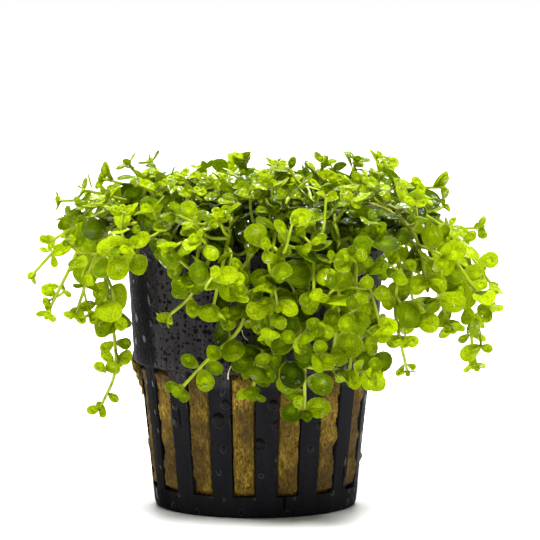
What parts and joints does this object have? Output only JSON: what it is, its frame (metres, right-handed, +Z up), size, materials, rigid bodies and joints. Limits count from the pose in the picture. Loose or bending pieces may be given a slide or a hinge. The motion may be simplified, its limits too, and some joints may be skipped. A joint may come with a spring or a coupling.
{
  "type": "potted micranthemum",
  "caption": "Bushy round-leaved aquarium plant that mounds over and trails from a black slotted net pot with brown rockwool showing in its slots.",
  "frame": {"origin": "centre of the pot's underside", "axes": "+Z up along the pot's axis, -Y towards the viewer of the picture, +X to that viewer's right"},
  "size_m": [0.0927, 0.0794, 0.0674],
  "materials": {
    "pot": "moulded black plastic, wet",
    "rockwool": "fibrous, matt, damp",
    "foliage": "thin living leaf, wet sheen"
  },
  "bodies": {
    "root": {"net_pot": "pot", "rockwool": "rockwool", "left_sprig_1": "foliage", "left_sprig_2": "foliage", "left_sprig_3": "foliage", "left_sprig_4": "foliage", "left_sprig_5": "foliage", "left_sprig_6": "foliage", "left_sprig_7": "foliage", "left_sprig_8": "foliage", "front_sprig_1": "foliage", "front_sprig_2": "foliage", "front_sprig_3": "foliage", "front_sprig_4": "foliage", "front_sprig_5": "foliage", "front_sprig_6": "foliage", "front_sprig_7": "foliage", "front_sprig_8": "foliage", "front_sprig_9": "foliage", "front_sprig_10": "foliage", "front_sprig_11": "foliage", "front_sprig_12": "foliage", "front_sprig_13": "foliage", "front_sprig_14": "foliage", "front_sprig_15": "foliage", "right_sprig_1": "foliage", "right_sprig_2": "foliage", "right_sprig_3": "foliage", "right_sprig_4": "foliage", "right_sprig_5": "foliage", "right_sprig_6": "foliage", "right_sprig_7": "foliage", "right_sprig_8": "foliage", "crown_sprig_1": "foliage", "crown_sprig_2": "foliage", "crown_sprig_3": "foliage", "crown_sprig_4": "foliage", "crown_sprig_5": "foliage", "crown_sprig_6": "foliage", "crown_sprig_7": "foliage", "crown_sprig_8": "foliage", "crown_sprig_9": "foliage", "crown_sprig_10": "foliage", "crown_sprig_11": "foliage", "crown_sprig_12": "foliage", "back_sprig_1": "foliage", "back_sprig_2": "foliage", "back_sprig_3": "foliage", "back_sprig_4": "foliage", "back_sprig_5": "foliage", "back_sprig_6": "foliage", "back_sprig_7": "foliage", "back_sprig_8": "foliage"}
  },
  "joints": []
}
